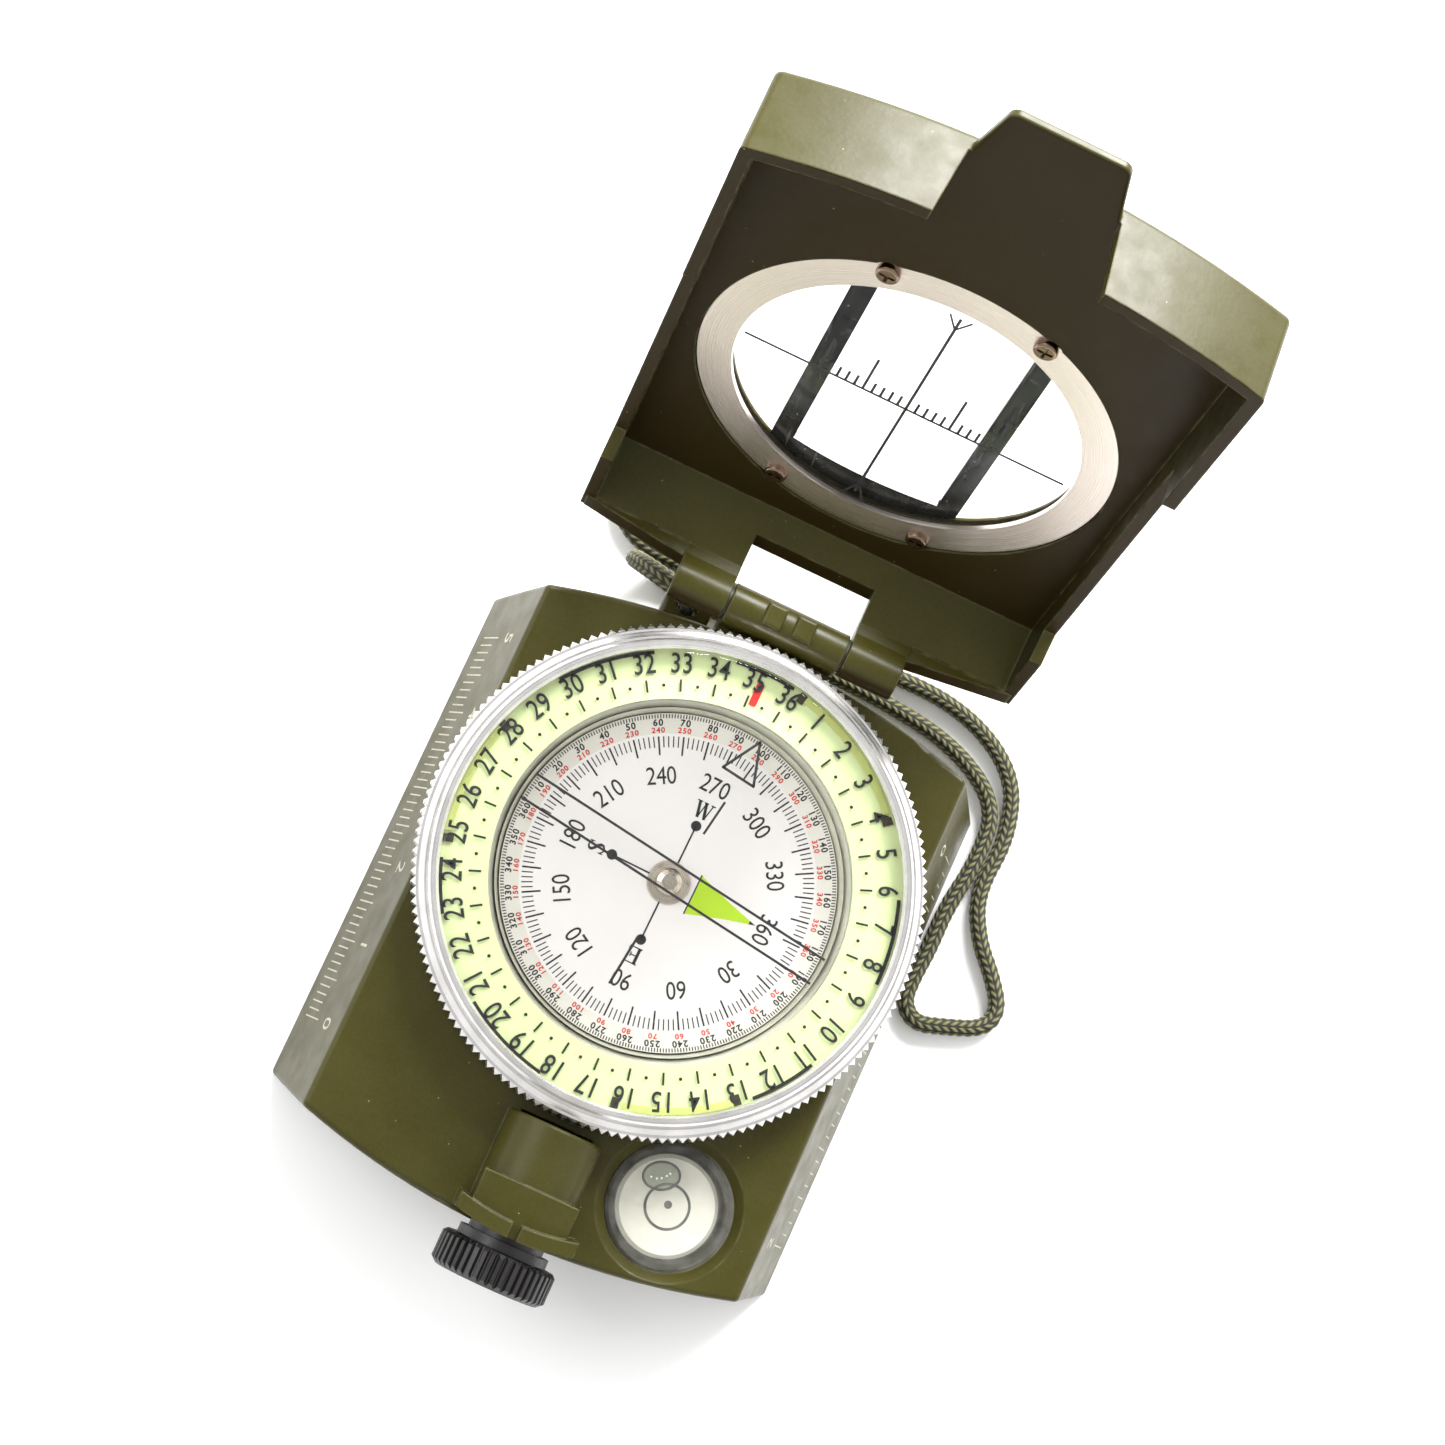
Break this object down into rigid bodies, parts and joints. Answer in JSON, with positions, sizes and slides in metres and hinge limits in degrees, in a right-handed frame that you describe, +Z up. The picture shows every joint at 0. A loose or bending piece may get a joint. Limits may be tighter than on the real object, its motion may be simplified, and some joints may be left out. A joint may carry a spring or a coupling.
{
  "type": "folding sighting compass",
  "caption": "Folding sighting compass: cast case, turning bezel, floating card, focusing eyepiece, bubble level and a hinged cover with a reticle window.",
  "frame": {"origin": "mouth of the tripod socket, on the bezel's axis, in the plane that the case stands on", "axes": "+X along the hinge axis, +Y from the eyepiece towards the hinge, +Z up out of the dial"},
  "size_m": [0.0781, 0.1231, 0.0935],
  "materials": {
    "olive_paint": "satin olive-green paint over a metal casting",
    "dark_steel": "blackened steel",
    "brass": "turned brass",
    "bowl_plastic": "grey moulded plastic",
    "rubber": "matt black rubber",
    "clear_glass": "clear polished glass",
    "clear_acrylic": "clear acrylic",
    "luminous": "pale yellow-green luminous plastic",
    "red_mark": "red paint",
    "steel": "bright plated steel",
    "black_plastic": "black moulded plastic",
    "black_gloss": "glossy black moulded plastic",
    "white_plastic": "white printed plastic",
    "cord": "olive and black braided nylon",
    "bezel_aluminium": "bright turned and knurled aluminium",
    "card_face": "printed white plastic card",
    "card_rim": "printed grey plastic",
    "magnet": "bare magnet steel",
    "hub_metal": "turned nickel-plated metal",
    "jewel": "polished synthetic jewel",
    "brushed_ring": "brushed aluminium"
  },
  "bodies": {
    "case": {"body_housing": "olive_paint", "base_plate": "olive_paint", "base_screws": "dark_steel", "tripod_insert": "brass", "capsule_bowl": "bowl_plastic", "capsule_gasket": "rubber", "capsule_glass": "clear_glass", "luminous_ring": "luminous", "index_mark": "red_mark", "pivot_post": "brass", "pivot_needle": "steel", "bezel_snap_ring": "steel", "eyepiece_tube": "black_plastic", "field_lens": "clear_glass", "reading_prism": "clear_glass", "level_vial": "clear_acrylic", "level_target": "white_plastic", "hinge_pin": "steel", "hinge_washers": "steel", "lanyard_cord": "cord", "lanyard_stopper": "cord", "lanyard_knot": "cord"},
    "bezel": {"bezel_ring": "bezel_aluminium", "bezel_crystal": "clear_acrylic"},
    "card": {"dial_card": "card_face", "dial_rim": "card_rim", "dial_magnet": "magnet", "dial_hub": "hub_metal", "jewel_bearing": "jewel"},
    "focus": {"focus_ring": "black_plastic"},
    "cell": {"lens_cell": "black_plastic", "eye_lens": "clear_glass"},
    "lid": {"lid_shell": "olive_paint", "window_ring": "brushed_ring", "window_glass": "clear_glass", "window_screws": "steel", "sight_frame": "black_gloss"}
  },
  "joints": [
    {"name": "lid_hinge", "type": "hinge", "parent": "case", "child": "lid", "pos_m": [0, 0.0327, 0.0191], "axis": [-1, 0, 0], "range_deg": [-110, 40]},
    {"name": "bezel_spin", "type": "hinge", "parent": "case", "child": "bezel", "pos_m": [0, 0, 0.018], "axis": [0, 0, 1], "continuous": true},
    {"name": "card_spin", "type": "hinge", "parent": "case", "child": "card", "pos_m": [0, 0, 0.017], "axis": [0, 0, 1], "continuous": true},
    {"name": "focus_turn", "type": "hinge", "parent": "case", "child": "focus", "pos_m": [0, -0.048, 0.0167], "axis": [0, -1, 0], "range_deg": [-90, 90]},
    {"name": "lens_slide", "type": "slide", "parent": "case", "child": "cell", "axis": [0, -1, 0], "range_m": [-0.0006, 0.0006]}
  ],
  "couplings": [
    {"joint": "focus_turn", "follows": "lens_slide", "rad_per_m": 2617}
  ]
}
